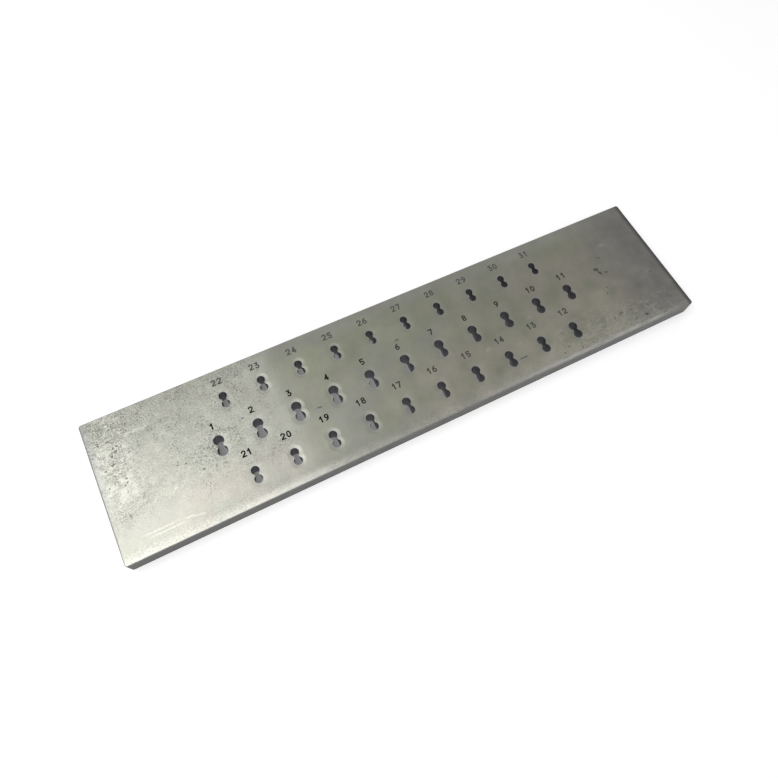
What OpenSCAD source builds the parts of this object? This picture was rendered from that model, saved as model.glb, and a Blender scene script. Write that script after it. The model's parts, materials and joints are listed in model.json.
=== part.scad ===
// Draw plate for twin-bead wire: one bar of hardened steel, pierced by figure-of-eight holes that
// step down in size from number to number. Each hole's number is stamped above it and filled black.
// The plate lies flat, numbered face up. The wire goes in from below and is drawn out of the top.
// Origin: middle of the underside. +X along the length, from hole 1 to hole 11. +Y from the lower
// to the upper edge of the numbered face as the numbers are read. +Z out of the numbered face.

/* [Plate] */
// Length of the plate
plate_length = 240; // [200:1:300]
// Width of the plate
plate_width = 55.4; // [52:0.1:80]
// Thickness of the plate
plate_thickness = 7.5; // [5:0.1:12]
// Radius of the four upright corners
corner_radius = 1; // [1:0.1:6]
// Rounding of the edges of both faces
edge_radius = 0.4; // [0.2:0.05:0.9]

/* [Holes] */
// Diameter of the two lobes of hole 1, the largest
first_lobe_diameter = 4; // [3:0.05:5]
// How much smaller the lobes get from one number to the next
lobe_step = 0.04; // [0.01:0.005:0.06]
// Distance between the two lobes, as a multiple of their diameter
lobe_spacing_ratio = 1.075; // [1:0.005:1.15]
// Width of the neck between the lobes, as a multiple of their diameter
neck_ratio = 0.55; // [0.35:0.01:0.62]
// Length of the straight bearing under the numbered face
bearing_length = 2; // [1:0.1:4]
// Extra radius of the tapered entry where it reaches the underside
entry_flare = 0.1; // [0.05:0.05:0.8]
// Width of the neck where it reaches the underside, as a multiple of the lobes' diameter there
entry_neck_ratio = 0.92; // [0.62:0.01:0.96]

/* [Layout] */
// Number of holes in the middle row; the two other rows have one hole less each
middle_row_holes = 11; // [3:1:11]
// Distance from hole to hole along a row
hole_pitch = 15.2; // [11:0.1:16]
// Shift of the field of holes along the plate, off its middle
field_shift = -0.6; // [-5:0.1:5]
// Line of the middle row's upper lobes, above the plate's centre line
middle_row_offset = 0.7; // [-2:0.1:2]
// Distance from the middle row up to the upper row
upper_row_pitch = 15.8; // [14:0.1:17]
// Distance from the middle row down to the lower row
lower_row_pitch = 16.1; // [14:0.1:18]

/* [Numbers] */
// Height of the digits
digit_height = 2.7; // [2.3:0.1:3.2]
// Width of the digits
digit_width = 1.8; // [1.5:0.05:2]
// Distance between the two digits of a number
digit_pitch = 2.2; // [2.1:0.05:3]
// Width of the stamped line
stroke_width = 0.54; // [0.2:0.02:0.58]
// Depth of the stamping
stamp_depth = 0.3; // [0.15:0.01:0.8]
// Depth of the filling's top below the numbered face
fill_below_face = 0.06; // [0.02:0.01:0.12]
// Gap between the filling and the walls of the stamping
fill_gap = 0.01; // [0.005:0.005:0.03]
// Height of the numbers above the upper lobes in the upper row
upper_number_rise = 6.3; // [5:0.1:7.5]
// Height of the numbers above the upper lobes in the middle row
middle_number_rise = 6.1; // [5:0.1:7.5]
// Height of the numbers above the upper lobes in the lower row
lower_number_rise = 7.4; // [5:0.1:7.5]
// Shift of the numbers along the plate, off the columns of their holes
number_shift = -0.3; // [-1:0.1:1]
// How far the hand-held stamps wander off their place
stamp_wander = 0.12; // [0:0.01:0.2]
// How far the hand-held stamps tilt, in degrees
stamp_tilt = 2; // [0:0.1:4]

/* [Hidden] */
$fn = 64;
edge_steps = 8;
arc_step = 18;
stamp_seed = 7;
cut_past = 1;

side_row_holes = middle_row_holes - 1;
hole_count = middle_row_holes + 2 * side_row_holes;
last_of_lower_row = middle_row_holes + side_row_holes;
bearing_z = plate_thickness - bearing_length;
stamp_floor_z = plate_thickness - stamp_depth;
fill_thickness = stamp_depth - fill_below_face;

// Centre lines of a digit's strokes: half their width and half their height
pen_x = (digit_width - stroke_width) / 2;
pen_y = (digit_height - stroke_width) / 2;

// Three random values from -1 to 1 for each of a number's two digits
scatter = rands(-1, 1, 6 * (hole_count + 1), stamp_seed);

steel_colour = [0.62, 0.62, 0.58];
fill_colour = [0.08, 0.08, 0.08];

function number_name(n) = str("number_", n);

// Numbering: middle row left to right, lower row right to left, upper row left to right
function in_middle_row(n) = n <= middle_row_holes;
function in_lower_row(n) = n > middle_row_holes && n <= last_of_lower_row;
function hole_column(n) =
    in_middle_row(n) ? n - 1
    : in_lower_row(n) ? last_of_lower_row - n + 0.5
    : n - last_of_lower_row - 0.5;
function hole_x(n) = field_shift + hole_pitch * (hole_column(n) - side_row_holes / 2);
function hole_y(n) =
    in_middle_row(n) ? middle_row_offset
    : in_lower_row(n) ? middle_row_offset - lower_row_pitch
    : middle_row_offset + upper_row_pitch;
function number_rise(n) =
    in_middle_row(n) ? middle_number_rise
    : in_lower_row(n) ? lower_number_rise
    : upper_number_rise;
function lobe_diameter(n) = first_lobe_diameter - lobe_step * (n - 1);

// Points of an elliptic arc round a centre
function arc(centre, rx, ry, from, to, steps) =
    [for (i = [0:steps]) let (t = from + (to - from) * i / steps) centre + [rx * cos(t), ry * sin(t)]];
function reversed(points) = [for (i = [len(points) - 1:-1:0]) points[i]];

// Right half of the plate's cross-section, reaching out from the origin, with rounded edges
function half_section(reach) = concat(
    arc([reach - edge_radius, edge_radius], edge_radius, edge_radius, -90, 0, edge_steps),
    arc([reach - edge_radius, plate_thickness - edge_radius], edge_radius, edge_radius, 0, 90, edge_steps));
function mirrored(points) = [for (p = reversed(points)) [-p.x, p.y]];

// Bar with rounded edges and corners, made of a long middle, two ends and four corner posts
module slab() {
    middle_x = plate_length / 2 - corner_radius;
    middle_y = plate_width / 2 - corner_radius;
    side = half_section(plate_width / 2);
    corner = concat([[0, 0]], half_section(corner_radius), [[0, plate_thickness]]);
    rotate([90, 0, 90])
        linear_extrude(2 * middle_x, center = true)
            polygon(concat(side, mirrored(side)));
    for (turn = [0, 180])
        rotate(turn)
            translate([middle_x, 0, 0])
                rotate([90, 0, 0])
                    linear_extrude(2 * middle_y, center = true)
                        polygon(corner);
    for (end_x = [0, 1], end_y = [0, 1])
        mirror([end_x, 0, 0])
            mirror([0, end_y, 0])
                translate([middle_x, middle_y, 0])
                    rotate_extrude(angle = 90)
                        polygon(corner);
}

// One lobe: straight bearing at the top, taper widening to the underside
module lobe(radius) {
    flare_per_mm = entry_flare / bearing_z;
    rotate_extrude()
        polygon([
            [0, -cut_past],
            [radius + entry_flare + flare_per_mm * cut_past, -cut_past],
            [radius, bearing_z],
            [radius, plate_thickness + cut_past],
            [0, plate_thickness + cut_past]]);
}

// Slot that joins the two lobes, with the same bearing and a taper that opens almost to their width
module neck(half_width, entry_half_width, spacing) {
    flare_per_mm = (entry_half_width - half_width) / bearing_z;
    side = [
        [entry_half_width + flare_per_mm * cut_past, -cut_past],
        [half_width, bearing_z],
        [half_width, plate_thickness + cut_past]];
    rotate([90, 0, 0])
        linear_extrude(spacing)
            polygon(concat(side, mirrored(side)));
}

// Figure-of-eight hole of number n, hanging down from its upper lobe
module draw_hole(n) {
    radius = lobe_diameter(n) / 2;
    spacing = lobe_spacing_ratio * lobe_diameter(n);
    translate([hole_x(n), hole_y(n), 0]) {
        lobe(radius);
        translate([0, -spacing, 0])
            lobe(radius);
        neck(neck_ratio * radius, entry_neck_ratio * (radius + entry_flare), spacing);
    }
}

// Outline of one side of a pen stroke: each point of the path moved out by half the pen's width
function unit(v) = v / norm(v);
function turned(v) = [-v.y, v.x];
function stroke_side(path, out) = [
    for (i = [0:len(path) - 1])
        let (
            before = unit(path[max(i, 1)] - path[max(i, 1) - 1]),
            after = unit(path[min(i, len(path) - 2) + 1] - path[min(i, len(path) - 2)]),
            between = unit(turned(before) + turned(after)))
        path[i] + between * out / (between * turned(before))];

// Pen stroke along a path, with square ends that stand out by half the pen's width
module stroke(path, pen) {
    last = len(path) - 1;
    start = path[0] + unit(path[0] - path[1]) * pen / 2;
    end = path[last] + unit(path[last] - path[last - 1]) * pen / 2;
    longer = concat([start], [for (i = [1:1:last - 1]) path[i]], [end]);
    polygon(concat(stroke_side(longer, -pen / 2), reversed(stroke_side(longer, pen / 2))));
}

// Closed oval pen stroke
module oval(centre, rx, ry, pen) {
    steps = 360 / arc_step;
    last = 360 - arc_step;
    difference() {
        polygon(arc(centre, rx + pen / 2, ry + pen / 2, 0, last, steps - 1));
        polygon(arc(centre, rx - pen / 2, ry - pen / 2, 0, last, steps - 1));
    }
}

// Open curved pen stroke
module bow(centre, rx, ry, from, to, pen) {
    stroke(arc(centre, rx, ry, from, to, ceil(abs(to - from) / arc_step)), pen);
}

// The ten digits, drawn with a pen round the middle of their field
module digit(value, pen) {
    x = pen_x;
    y = pen_y;
    if (value == 0)
        oval([0, 0], x, y, pen);
    if (value == 1) {
        stroke([[0.2 * x, -y], [0.2 * x, y]], pen);
        stroke([[0.2 * x, 0.9 * y], [-0.65 * x, 0.5 * y]], pen);
    }
    if (value == 2) {
        curl = arc([0, 0.45 * y], x, 0.55 * y, 165, -36, 12);
        stroke(concat(curl, [[-0.8 * x, -0.85 * y]]), pen);
        stroke([[-x, -y], [x, -y]], pen);
    }
    if (value == 3) {
        stroke([[-0.85 * x, y], [0.45 * x, y], [-0.15 * x, 0.22 * y]], pen);
        bow([0, -0.42 * y], x, 0.58 * y, 115, -145, pen);
    }
    if (value == 4) {
        stroke([[0.45 * x, -y], [0.45 * x, y]], pen);
        stroke([[0.35 * x, 0.9 * y], [-0.9 * x, -0.32 * y]], pen);
        stroke([[-x, -0.42 * y], [x, -0.42 * y]], pen);
    }
    if (value == 5) {
        stroke([[x, y], [-0.8 * x, y]], pen);
        stroke([[-0.8 * x, y], [-0.85 * x, 0]], pen);
        bow([0, -0.4 * y], x, 0.6 * y, 130, -130, pen);
    }
    if (value == 6) {
        oval([0, -0.42 * y], x, 0.58 * y, pen);
        bow([0.8 * x, -0.42 * y], 1.78 * x, 1.42 * y, 172, 96, pen);
    }
    if (value == 7) {
        stroke([[-x, y], [x, y]], pen);
        stroke([[0.92 * x, 0.92 * y], [-0.25 * x, -y]], pen);
    }
    if (value == 8) {
        oval([0, 0.54 * y], 0.85 * x, 0.46 * y, pen);
        oval([0, -0.46 * y], x, 0.54 * y, pen);
    }
    if (value == 9)
        rotate(180)
            digit(6, pen);
}

// Number n as flat digits in their place on the plate, each one a little off as its stamp was held.
// The middle row's numbers start over their hole, and those of the two other rows are centred on it.
module flat_number(n, pen) {
    digits = n < 10 ? [n] : [floor(n / 10), n % 10];
    places_before = in_middle_row(n) ? 0 : (len(digits) - 1) / 2;
    translate([hole_x(n) + number_shift, hole_y(n) + number_rise(n)])
        for (i = [0:len(digits) - 1]) {
            along = digit_pitch * (i - places_before);
            wander = stamp_wander * [scatter[6 * n + 3 * i], scatter[6 * n + 3 * i + 1]];
            translate([along, 0] + wander)
                rotate(stamp_tilt * scatter[6 * n + 3 * i + 2])
                    digit(digits[i], pen);
        }
}

// Steel plate with its holes and stamped numbers
module plate() {
    color(steel_colour)
        difference() {
            slab();
            for (n = [1:hole_count])
                draw_hole(n);
            translate([0, 0, stamp_floor_z])
                linear_extrude(stamp_depth + cut_past)
                    for (n = [1:hole_count])
                        flat_number(n, stroke_width);
        }
}

// Black filling in the stamping of number n
module number_filling(n) {
    color(fill_colour)
        translate([0, 0, stamp_floor_z])
            linear_extrude(fill_thickness)
                flat_number(n, stroke_width - 2 * fill_gap);
}

plate();
for (n = [1:hole_count])
    number_filling(n);
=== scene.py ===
"""A draw plate for twin-bead wire: one bar of ground steel, pierced by figure-of-eight holes.

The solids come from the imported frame, in metres. Here the steel and the black fillings of the
stamped numbers get their finish, and the plate is laid on a pale floor under soft light.
"""
import json
import math

import bpy
import numpy as np
from mathutils import Matrix, Vector


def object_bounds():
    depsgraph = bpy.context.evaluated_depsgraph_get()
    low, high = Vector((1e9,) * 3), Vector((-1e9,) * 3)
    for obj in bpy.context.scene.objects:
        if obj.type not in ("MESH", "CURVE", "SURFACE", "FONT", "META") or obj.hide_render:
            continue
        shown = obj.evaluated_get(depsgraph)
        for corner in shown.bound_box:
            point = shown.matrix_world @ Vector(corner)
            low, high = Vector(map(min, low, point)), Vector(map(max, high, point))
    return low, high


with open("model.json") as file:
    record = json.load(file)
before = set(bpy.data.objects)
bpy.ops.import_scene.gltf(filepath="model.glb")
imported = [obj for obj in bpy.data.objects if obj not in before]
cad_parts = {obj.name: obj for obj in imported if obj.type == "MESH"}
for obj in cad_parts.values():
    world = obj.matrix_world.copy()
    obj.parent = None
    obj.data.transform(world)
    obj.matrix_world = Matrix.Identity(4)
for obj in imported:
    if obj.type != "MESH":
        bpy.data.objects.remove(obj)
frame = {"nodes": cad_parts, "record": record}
cad_low, cad_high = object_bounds()

# The view: a hand-held camera close above the near left end of the plate, looking down its length.
# Its short lens makes the near end look wider than the far one.
MM = 0.001
CAMERA_PLACE = Vector((-63.53, -87.35, 224.82)) * MM
AIM_POINT = Vector((-11.77, -7.93, 7.5)) * MM
CAMERA_ROLL = math.radians(6.83)

camera = bpy.data.objects.new("camera", bpy.data.cameras.new("camera"))
camera.data.lens = 28.87
camera.data.sensor_width = 36.0
camera.data.clip_start = 10 * MM
looking = (AIM_POINT - CAMERA_PLACE).to_track_quat("-Z", "Y").to_matrix().to_4x4()
camera.matrix_world = (
    Matrix.Translation(CAMERA_PLACE) @ looking @ Matrix.Rotation(CAMERA_ROLL, 4, "Z")
)
bpy.context.scene.collection.objects.link(camera)
bpy.context.scene.camera = camera

# The plate: a bar of hardened tool steel, surface ground on both faces, its sides dark partly as painted
# shade.
# Years on the draw bench have dished it round the holes, pitted its held end and worn its edges bright, with
# a painted highlight on the front rim.
PLATE_LENGTH, PLATE_WIDTH, PLATE_THICKNESS = (cad_high - cad_low) / MM


class Field:
    """A number that varies over a surface. Arithmetic on fields adds Math nodes to their tree."""

    def __init__(self, socket):
        self.socket = socket

    def math(self, operation, *others):
        node = self.socket.id_data.nodes.new("ShaderNodeMath")
        node.operation = operation
        for socket, value in zip(node.inputs, (self, *others)):
            plug(value, socket)
        return Field(node.outputs[0])

    def __add__(self, other):
        return self.math("ADD", other)

    def __sub__(self, other):
        return self.math("SUBTRACT", other)

    def __mul__(self, other):
        return self.math("MULTIPLY", other)

    def __truediv__(self, other):
        return self.math("DIVIDE", other)

    def __abs__(self):
        return self.math("ABSOLUTE")

    def rest(self):
        """What is left of the field up to 1."""
        return self * -1.0 + 1.0

    def step(self, low, high):
        """0 where the field is below low and 1 above high, smooth between; falls where low > high."""
        node = self.socket.id_data.nodes.new("ShaderNodeMapRange")
        node.interpolation_type = "SMOOTHSTEP"
        plug(self, node.inputs["Value"])
        plug(low, node.inputs["From Min"])
        plug(high, node.inputs["From Max"])
        return Field(node.outputs["Result"])

    def band(self, rise, fall):
        """1 between two smooth ramps and 0 beyond them, each ramp given by its two ends in order."""
        return self.step(*rise) * self.step(*reversed(fall))


def plug(value, socket):
    """Links a field or an output to a socket, or sets a plain value on it."""
    value = getattr(value, "socket", value)
    if isinstance(value, bpy.types.NodeSocket):
        socket.id_data.links.new(value, socket)
    else:
        socket.default_value = value


def new_material(name):
    """A new material, its node tree and the shader that feeds its output."""
    material = bpy.data.materials.new(name)
    material.use_nodes = True
    return material, material.node_tree, material.node_tree.nodes["Principled BSDF"]


def surface_place(tree):
    """Position on the piece in millimetres, as a vector."""
    source = tree.nodes.new("ShaderNodeTexCoord")
    node = tree.nodes.new("ShaderNodeVectorMath")
    node.operation = "SCALE"
    plug(source.outputs["Object"], node.inputs[0])
    plug(1 / MM, node.inputs["Scale"])
    return node.outputs[0]


def split(vector):
    """The three parts of a vector, as fields."""
    node = vector.id_data.nodes.new("ShaderNodeSeparateXYZ")
    plug(vector, node.inputs[0])
    return [Field(socket) for socket in node.outputs]


def mottle(place, size, detail=3.0, stretch=(1.0, 1.0, 1.0), roughness=0.5):
    """Soft noise round 0.5 whose patches are about size millimetres across, times the stretch."""
    scaling = place.id_data.nodes.new("ShaderNodeVectorMath")
    scaling.operation = "DIVIDE"
    plug(place, scaling.inputs[0])
    plug([size * share for share in stretch], scaling.inputs[1])
    node = place.id_data.nodes.new("ShaderNodeTexNoise")
    plug(scaling.outputs[0], node.inputs["Vector"])
    plug(1.0, node.inputs["Scale"])
    plug(detail, node.inputs["Detail"])
    plug(roughness, node.inputs["Roughness"])
    return Field(node.outputs["Fac"])


def tint(colour, other, share):
    """One colour turning into another where the share goes from 0 to 1."""
    node = share.socket.id_data.nodes.new("ShaderNodeMix")
    node.data_type = "RGBA"
    plug(share, node.inputs["Factor"])
    for value, socket in zip((colour, other), node.inputs[6:8]):
        plug((*value, 1.0) if isinstance(value, tuple) else value, socket)
    return node.outputs[2]


def shade(colour, share):
    """A colour made lighter or darker by a share of itself."""
    node = colour.id_data.nodes.new("ShaderNodeVectorMath")
    node.operation = "SCALE"
    plug(colour, node.inputs[0])
    plug(share + 1.0, node.inputs["Scale"])
    return node.outputs[0]


steel, tree, shader = new_material("ground_steel")
place = surface_place(tree)
x, y, _ = split(place)
facing = split(tree.nodes.new("ShaderNodeTexCoord").outputs["Normal"])

# distance to the plate's outline in millimetres, as all lengths here, and which surface this is
from_left, to_right = x + PLATE_LENGTH / 2, x * -1.0 + PLATE_LENGTH / 2
from_front, to_back = y + PLATE_WIDTH / 2, y * -1.0 + PLATE_WIDTH / 2
inset = from_left.math("MINIMUM", to_right).math("MINIMUM", from_front).math("MINIMUM", to_back)
upright = abs(facing[2]).step(0.6, 0.3)
in_hole = upright * inset.step(1.0, 1.6)
on_side = upright * inset.step(1.6, 1.0)
arris = inset.step(0.45, 0.2) * upright.rest()

# distance to the nearest hole, row by row: the nearest column's two lobes stand one below the other
bores = {mount["name"]: mount for mount in frame["record"]["mounts"] if mount["kind"] == "bore"}
rows = {}
for name, bore in bores.items():
    if name.endswith("upper"):
        rows.setdefault(round(bore["pos_m"][1], 6), []).append((bore["pos_m"][0], name))
hole_distance = None
for row_y, holes in rows.items():
    holes.sort()
    gaps = len(holes) - 1
    first, last = bores[holes[0][1]], bores[holes[-1][1]]
    first_low = bores[holes[0][1].replace("upper", "lower")]
    first_radius = first["dims"]["r_mm"]
    pitch = (last["pos_m"][0] - first["pos_m"][0]) / MM / gaps
    shrink = (last["dims"]["r_mm"] - first_radius) / gaps
    spacing = (first["pos_m"][1] - first_low["pos_m"][1]) / MM / first_radius
    column = ((x - first["pos_m"][0] / MM) / pitch).math("ROUND")
    column = column.math("MAXIMUM", 0.0).math("MINIMUM", float(gaps))
    radius = column * shrink + first_radius
    across = x - column * pitch - first["pos_m"][0] / MM
    above = y - row_y / MM
    below = above + radius * spacing
    for up in (above, below):
        reach = (across * across + up * up).math("SQRT") - radius
        hole_distance = reach if hole_distance is None else hole_distance.math("MINIMUM", reach)

# the place, shifted a little this way and that, which gives the edge of a mark its ragged line
RAGGED_REACH = 0.6
wobble = tree.nodes.new("ShaderNodeTexNoise")
plug(place, wobble.inputs["Vector"])
plug(1.1, wobble.inputs["Scale"])
plug(3.0, wobble.inputs["Detail"])
shift = tree.nodes.new("ShaderNodeVectorMath")
shift.operation = "MULTIPLY_ADD"
plug(wobble.outputs["Color"], shift.inputs[0])
plug((2 * RAGGED_REACH, 2 * RAGGED_REACH, 0.0), shift.inputs[1])
plug(place, shift.inputs[2])
centred = tree.nodes.new("ShaderNodeVectorMath")
centred.operation = "SUBTRACT"
plug(shift.outputs[0], centred.inputs[0])
plug((RAGGED_REACH, RAGGED_REACH, 0.0), centred.inputs[1])
ragged = centred.outputs[0]


def blot(centre, size, angle=0.0, core=0.35):
    """An oval mark on the numbered face: 1 in its core and 0 outside its length and width."""
    node = tree.nodes.new("ShaderNodeMapping")
    node.vector_type = "TEXTURE"
    plug(ragged, node.inputs["Vector"])
    plug((*centre, PLATE_THICKNESS), node.inputs["Location"])
    plug((0.0, 0.0, math.radians(angle)), node.inputs["Rotation"])
    plug((size[0] / 2, size[1] / 2, 1.0), node.inputs["Scale"])
    reach = tree.nodes.new("ShaderNodeVectorMath")
    reach.operation = "LENGTH"
    plug(node.outputs[0], reach.inputs[0])
    return Field(reach.outputs["Value"]).step(1.0, core)


def marks(places, core=0.35):
    """Where any of a list of oval marks is, each given by its centre, size and angle."""
    together = None
    for centre, size, angle in places:
        mark = blot(centre, size, angle, core)
        together = mark if together is None else together.math("MAXIMUM", mark)
    return together


# the marks that stand out on the numbered face: centre, length and width in millimetres, and angle
PITS = [
    ((-116.2, 18.1), (1.6, 0.7), -22), ((-115.8, 17.1), (1.5, 0.6), 75), ((-112.6, 17.3), (1.3, 0.7), 30),
    ((-111.8, 17.1), (1.3, 0.6), -25), ((-111.4, 13.9), (1.3, 0.8), 60), ((-109.8, 14.4), (1.2, 0.8), 10),
    ((-110.8, 12.7), (2.0, 1.1), 10), ((-112.3, 11.2), (2.0, 0.7), 62), ((-113.5, 7.9), (1.3, 0.7), -30),
    ((-112.8, 8.3), (1.5, 0.6), 35), ((-116.0, 6.8), (1.0, 0.8), 0), ((-110.2, 1.5), (1.4, 0.7), -15),
    ((-110.3, 0.0), (1.2, 0.7), 70), ((-111.4, -0.9), (1.6, 0.6), 50), ((-116.6, 0.4), (1.2, 0.7), 60),
    ((-112.9, -12.0), (2.8, 0.5), 100), ((-106.3, 10.4), (1.7, 0.6), 20), ((-84.9, -7.0), (1.0, 0.8), 0),
    ((-89.8, -2.5), (1.0, 0.8), 0), ((-65.7, 5.1), (1.2, 0.8), 50), ((-38.6, -3.3), (3.0, 0.6), -6),
    ((0.4, 9.6), (2.8, 0.7), 8), ((42.2, -18.9), (5.0, 0.6), 3), ((66.0, -25.5), (1.8, 0.7), 70),
    ((96.4, 7.9), (1.1, 0.9), 0), ((91.8, 3.2), (3.0, 2.2), -30), ((92.5, 1.2), (2.6, 1.3), -70),
    ((95.2, 0.4), (1.9, 1.1), -20), ((91.2, -5.9), (1.0, 0.8), 0), ((89.7, -8.7), (0.9, 0.7), 0),
    ((89.3, -18.8), (3.0, 0.7), 10), ((112.6, -7.4), (1.8, 0.7), -40), ((101.7, -20.0), (1.5, 0.7), -60),
    ((61.2, -22.5), (1.8, 0.6), -25), ((85.6, -19.9), (1.4, 0.6), 60), ((98.9, -23.8), (2.0, 1.0), 20),
    ((58.3, -24.4), (1.4, 0.7), -10),
]
STAINS = [
    ((-99.0, 15.2), (11.0, 3.0), 8), ((93.2, 0.5), (11.0, 5.0), -65), ((113.0, -13.0), (8.0, 16.0), 0),
    ((105.0, -11.0), (11.0, 5.0), 10), ((116.0, -5.0), (5.0, 12.0), 0),
]
SCUFFS = [
    ((-105.0, -20.4), (17.0, 1.1), 0), ((-93.5, -21.3), (11.0, 1.1), -12), ((-103.0, -21.9), (17.0, 1.0), 0),
    ((-96.2, -9.2), (5.5, 1.3), 40), ((-103.8, -10.2), (4.5, 1.3), 25), ((-102.0, 17.4), (15.0, 2.0), 3),
    ((101.1, 12.6), (4.0, 2.2), -15), ((111.6, -6.3), (1.3, 0.8), 30), ((52.9, -4.5), (4.5, 1.0), 12),
    ((31.3, -9.8), (4.0, 2.2), 0), ((61.5, -15.2), (4.5, 1.6), 15), ((78.5, -19.8), (6.0, 2.0), -8),
    ((88.5, -21.2), (6.0, 2.6), 0), ((80.8, -22.4), (2.2, 1.0), 70), ((84.2, -21.0), (2.8, 1.2), 20),
    ((67.9, -22.8), (1.6, 0.9), 50),
]
grain = mottle(place, 0.75, 4.0, (1.5, 1.0, 1.0), 0.65)
fine = mottle(place, 0.4, 2.0)
blotch = mottle(place, 3.2, 3.0)
smear = mottle(place, 1.3, 4.0, (2.5, 1.0, 1.0))
held = x.step(-44.0, -88.0)
pits = marks(PITS, 0.5) * grain.step(0.28, 0.46) * (held * 0.1 + 0.85)
stains = marks(STAINS, 0.0) * (grain.step(0.35, 0.65) * 0.5 + 0.5)
scuffs = marks(SCUFFS) * grain.step(0.30, 0.55)

# the held end is etched rough, with small dark specks in clusters as far as the first holes, and painted
# glints as pale patches near its end
near_front, near_back = from_front.step(9.0, 4.0), to_back.step(8.0, 3.0)
lower = y.step(0.0, -7.0)
upper = lower.rest()
rough = x.step(-46.0, -64.0) * (y.step(-18.0, -4.0) * 0.7 + near_back * 0.5 + 0.3)
rough = rough * (x.step(-92.0, -104.0) * y.step(16.0, 6.0) * -0.45 + 1.0)
etched = x.step(-97.0, -111.0) * y.step(-23.0, -8.0)
corroded = etched * (y.step(2.0, 12.0) * 0.5 + 0.5)
off_the_end = (x.step(-104.0, -88.0) + y.step(4.0, 12.0)).step(0.0, 1.0)
speckled = x.step(-38.0, -62.0) * y.step(-24.0, -8.0) * off_the_end
cluster = mottle(place, 5.0, 2.0).step(0.42, 0.62)
by_first_hole = x.band((-84.0, -76.0), (-58.0, -50.0)) * abs(y).step(12.0, 6.0)
dots = mottle(place, 0.55, 2.0) + etched * 0.02 + by_first_hole * 0.035
specks = dots.step(0.55, 0.64) * cluster * speckled.math("MAXIMUM", etched)
# painted glints: pale patches near the tip of the held end, a painted highlight
painted_glints = x.step(-102.0, -110.0) * y.band((-10.0, -1.0), (13.0, 20.0))
painted_glints = painted_glints * mottle(place, 1.7, 4.0).step(0.45, 0.57)

# the far end is clouded, and its front is flecked by small knocks
far = x.step(80.0, 112.0)
knocked = x.step(44.0, 72.0) * y.step(-11.0, -19.0) * (x.step(110.0, 94.0) * 0.5 + 0.5)
front = from_front.step(6.0, 1.5)
fleck = mottle(place, 0.8, 2.0, (1.6, 1.0, 1.0))
bright_flecks = fleck.step(0.52, 0.61) * blotch.step(0.47, 0.58) * knocked
dark_flecks = fleck.step(0.42, 0.34) * blotch.step(0.50, 0.38) * knocked

# clouds of olive and warm grey, neutral again and darker towards the far end, and paler in the dished rings
PALE_STEEL, OLIVE_STEEL = (0.555, 0.558, 0.49), (0.53, 0.545, 0.425)
WARM_STEEL, ROSY_STEEL = (0.58, 0.555, 0.465), (0.585, 0.558, 0.497)
DISHED_STEEL, FAR_STEEL = (0.55, 0.555, 0.525), (0.466, 0.45, 0.425)
patch = mottle(place, 9.0, 4.0)
cloud = mottle(place, 24.0, 3.0)
olive = x.step(-56.0, -34.0) * inset.step(1.0, 9.0)
warm_front = x.step(-30.0, 10.0) * y.step(4.0, -8.0) * 0.8
warm = (x.step(0.0, 75.0) * y.step(26.0, 10.0)).math("MAXIMUM", warm_front)
rosy = x.band((-108.0, -96.0), (-62.0, -40.0)) * y.step(-6.0, -14.0) * 0.8
colour = tint(PALE_STEEL, OLIVE_STEEL, olive * cloud.step(0.30, 0.55))
colour = tint(colour, WARM_STEEL, warm * patch.step(0.34, 0.54))
colour = tint(colour, ROSY_STEEL, rosy * patch.step(0.34, 0.54))
colour = tint(colour, DISHED_STEEL, hole_distance.step(1.4, 0.1) * 0.6)
colour = tint(colour, FAR_STEEL, x.step(86.0, 113.0))

# fine unevenness, and broad lighter and darker zones along the plate, the zones being painted light and
# shade
unevenness = (
    (grain - 0.5) * (rough * 0.3 + corroded * 0.5 + 0.14)
    + (fine - 0.5) * (rough + etched * 0.8 + knocked * 0.6 + front * 1.1 + 0.08)
    + (blotch - 0.5) * (rough * 0.3 + corroded * 0.5 + far * 0.12 + 0.15)
    + (smear - 0.5) * knocked * 0.45
    + (patch - 0.5) * (far * 0.15 + lower * x.step(-20.0, 10.0) * 0.25 + 0.2)
)
turning = x.band((-60.0, -50.0), (-26.0, -14.0))
# painted light and shade: broad zones made lighter or darker, and lighter round the holes of the turning
# zone
painted_light_zones = (
    x.band((-62.0, -56.0), (-52.0, -46.0)) * (upper * 0.06 + 0.09)
    - x.band((-50.0, -42.0), (-20.0, 0.0)) * 0.06
    + x.band((-84.0, -72.0), (-62.0, -56.0)) * upper * 0.09
    + lower * (x.band((30.0, 50.0), (88.0, 102.0)) * 0.08 - x.step(-96.0, -108.0) * 0.05)
    + near_front * (x.step(10.0, 26.0) * 0.14 - x.band((-102.0, -88.0), (-36.0, -20.0)) * 0.08)
    + near_back * (x.step(25.0, 60.0) * 0.09 - x.step(-45.0, -80.0) * 0.08)
    - near_back * x.band((-64.0, -56.0), (-46.0, -36.0)) * 0.07
    + hole_distance.step(1.8, 0.3) * turning * 0.10
)
colour = shade(colour, unevenness + painted_light_zones)

# the marks lie over all that: pale scuffs and flecks together with the painted glints of the held end, then
# stains, pits and specks
SCUFFED_STEEL, STAINED_STEEL, PITTED_STEEL = (0.80, 0.80, 0.72), (0.33, 0.345, 0.335), (0.17, 0.17, 0.15)
scuffs_and_glints = (painted_glints * 0.65).math("MAXIMUM", scuffs * 0.55).math("MAXIMUM", bright_flecks * 0.7)
dark_marks = (specks * 0.65).math("MAXIMUM", pits).math("MAXIMUM", dark_flecks * 0.5)
colour = tint(colour, SCUFFED_STEEL, scuffs_and_glints)
colour = tint(colour, STAINED_STEEL, stains * 0.5)
colour = tint(colour, PITTED_STEEL, dark_marks)
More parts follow.
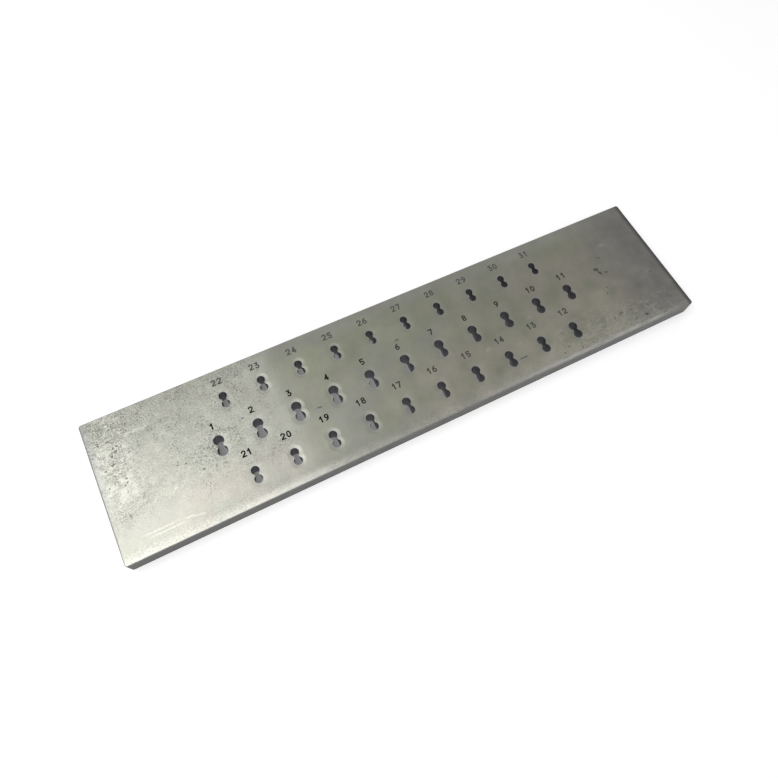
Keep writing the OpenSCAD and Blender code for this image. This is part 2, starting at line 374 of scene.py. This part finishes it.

# edges rubbed bright along the front, a painted highlight on the front rim, and painted shade on the arris
# and along the two ends
RUBBED_EDGE, RIM_HIGHLIGHT, ARRIS_SHADE = (0.93, 0.92, 0.85), (0.99, 0.99, 0.95), (0.42, 0.42, 0.40)
END_EDGE_SHADE, GREY_END, LEFT_ARRIS_SHADE = (0.15, 0.15, 0.15), (0.42, 0.42, 0.43), (0.20, 0.20, 0.21)
rubbed = from_front.step(4.0, 0.7) * (x.band((-95.0, -62.0), (-50.0, -25.0)) * 0.45 + 0.25)
colour = tint(colour, RUBBED_EDGE, rubbed * (smear.step(0.25, 0.6) * 0.5 + 0.5))
# painted highlight: a near-white line along the front rim of the far half
rim_highlight = from_front.step(1.9, 0.95) * x.band((15.0, 72.0), (96.0, 119.0))
colour = tint(colour, RIM_HIGHLIGHT, rim_highlight * (smear.step(0.32, 0.56) * 0.6 + 0.4))
# painted shade: the rounded edges of the numbered face darkened, less so under the rim highlight
colour = tint(colour, ARRIS_SHADE, arris * (rim_highlight * -0.35 + 1.0))
# painted shade: the edge of the right end darkened
colour = tint(colour, END_EDGE_SHADE, to_right.step(2.8, 0.3) * 0.85)
colour = tint(colour, GREY_END, from_left.step(4.0, 1.0) * y.step(-14.0, 2.0) * 0.4)
# painted shade: a dark line on the left edge near the front
colour = tint(colour, LEFT_ARRIS_SHADE, from_left.step(0.8, 0.3) * y.step(-25.0, -18.0) * 0.55)

# the sides are streaked along the bar and dark, partly painted shade; the walls of the holes are drawn
# smooth and painted darker, as painted shade in the bores
DARK_SIDE, PALE_SIDE, SHADED_HOLE_WALL = (0.088, 0.089, 0.086), (0.116, 0.117, 0.114), (0.34, 0.34, 0.36)
streaks = mottle(place, 0.6, 4.0, (8.0, 8.0, 1.0))
colour = tint(colour, tint(DARK_SIDE, PALE_SIDE, streaks.step(0.3, 0.7)), on_side)
colour = tint(colour, SHADED_HOLE_WALL, in_hole)
plug(colour, shader.inputs["Base Color"])
plug(1.0, shader.inputs["Metallic"])
plug((patch - 0.5) * 0.12 + 0.39 + upright * 0.1, shader.inputs["Roughness"])

# what is cut, etched or rubbed into the ground faces is shallow
dish = hole_distance.step(1.7, -0.4) * (x.step(-20.0, 0.0) * -0.02 - turning * 0.055 - 0.04)
uneven = (grain - 0.5) * (rough * 0.02 + corroded * 0.045 + 0.003)
grind = (mottle(place, 0.12, 2.0, (60.0, 1.0, 1.0)) - 0.5) * 0.0008
height = dish + uneven + grind - specks * 0.015
bump = tree.nodes.new("ShaderNodeBump")
plug(height, bump.inputs["Height"])
plug(MM, bump.inputs["Distance"])
plug(bump.outputs["Normal"], shader.inputs["Normal"])
frame["nodes"]["plate"].data.materials[0] = steel

# The numbers: the steel is stamped by hand and the stampings are rubbed full of black paint.
# The paint is full at the held end and worn thinner along the rows, thinnest in the upper one.
FULL_BLACK, THIN_BLACK = (0.006, 0.006, 0.007), (0.19, 0.19, 0.175)
filling, tree, shader = new_material("black_filling")
place = surface_place(tree)
x, y, _ = split(place)
along_row = x.step(-45.0, 0.0) * (y.step(0.0, -6.0) * 0.25 + 0.3)
thinned = (y.step(8.0, 18.0) * 0.75).math("MAXIMUM", along_row) * mottle(place, 0.5).step(0.15, 0.55)
plug(tint(FULL_BLACK, THIN_BLACK, thinned), shader.inputs["Base Color"])
plug(0.8, shader.inputs["Roughness"])
plug(0.15, shader.inputs["Specular IOR Level"])
for name, node in frame["nodes"].items():
    if name.startswith("number_"):
        node.data.materials[0] = filling

# The floor: a wide sheet of white paper that the plate lies on.
# It is lit as paper is, with a little of its own white for what looks at it or mirrors it.
# It lies a hair below the plate and is clear from below, so that the underside can be looked at.
FLOOR_RADIUS, FLOOR_GAP, FLOOR_CORNERS = 4.0, 0.02 * MM, 96
FLOOR_WHITE, FLOOR_PAINTED_SHADOW = (0.9, 0.9, 0.9), (0.3, 0.3, 0.31)
floor_mesh = bpy.data.meshes.new("floor")
turns = np.linspace(0.0, 2 * math.pi, FLOOR_CORNERS, endpoint=False)
heights = np.full(FLOOR_CORNERS, cad_low.z - FLOOR_GAP)
corners = np.column_stack((np.cos(turns) * FLOOR_RADIUS, np.sin(turns) * FLOOR_RADIUS, heights))
floor_mesh.from_pydata(corners.tolist(), [], [range(FLOOR_CORNERS)])
floor = bpy.data.objects.new("floor", floor_mesh)
bpy.context.scene.collection.objects.link(floor)
paper, tree, shader = new_material("white_paper")
plug(0.9, shader.inputs["Roughness"])
plug((1.0, 1.0, 1.0, 1.0), shader.inputs["Emission Color"])
rays = tree.nodes.new("ShaderNodeLightPath")
seen = Field(rays.outputs["Is Camera Ray"])
for kind in ("Is Glossy Ray", "Is Transmission Ray"):
    seen = seen.math("MAXIMUM", Field(rays.outputs[kind]))
x, y, _ = split(surface_place(tree))
# painted shadow: the paper under the plate's footprint is darker and gives less of its own white, as seen
# through the holes
outside = (abs(x) - PLATE_LENGTH / 2).math("MAXIMUM", abs(y) - PLATE_WIDTH / 2).step(-3.0, 0.0)
plug(tint(FLOOR_PAINTED_SHADOW, FLOOR_WHITE, outside), shader.inputs["Base Color"])
plug(seen * (outside * 0.3 + 0.15), shader.inputs["Emission Strength"])
sided = tree.nodes.new("ShaderNodeMixShader")
plug(tree.nodes.new("ShaderNodeNewGeometry").outputs["Backfacing"], sided.inputs[0])
plug(shader.outputs[0], sided.inputs[1])
plug(tree.nodes.new("ShaderNodeBsdfTransparent").outputs[0], sided.inputs[2])
plug(sided.outputs[0], tree.nodes["Material Output"].inputs["Surface"])
floor_mesh.materials.append(paper)

# The light: one large soft lamp high on the left, turned down towards the plate,
# and a pale room that is dimmer overhead and on the right, which the steel mirrors.
softbox = bpy.data.objects.new("softbox", bpy.data.lights.new("softbox", "AREA"))
softbox.data.shape = "RECTANGLE"
softbox.data.size = 0.69
softbox.data.size_y = 0.92
softbox.data.energy = 4.6
softbox.location = (-0.42, -0.06, 0.9)
softbox.rotation_euler = (0.0, math.radians(-25.0), 0.0)
bpy.context.scene.collection.objects.link(softbox)

world = bpy.data.worlds.new("pale_room")
world.use_nodes = True
bpy.context.scene.world = world
tree = world.node_tree
direction = split(tree.nodes.new("ShaderNodeTexCoord").outputs["Generated"])
ceiling = (direction[0] * -0.18 + 1.0) * 0.335
walls = direction[0].step(0.1, 0.7) * -0.6 + 0.8
brightness = ceiling + (walls - ceiling) * direction[2].step(0.45, 0.1)
plug(brightness, tree.nodes["Background"].inputs["Strength"])
plug((1.0, 1.0, 1.0, 1.0), tree.nodes["Background"].inputs["Color"])

bpy.context.scene.view_settings.view_transform = "Standard"
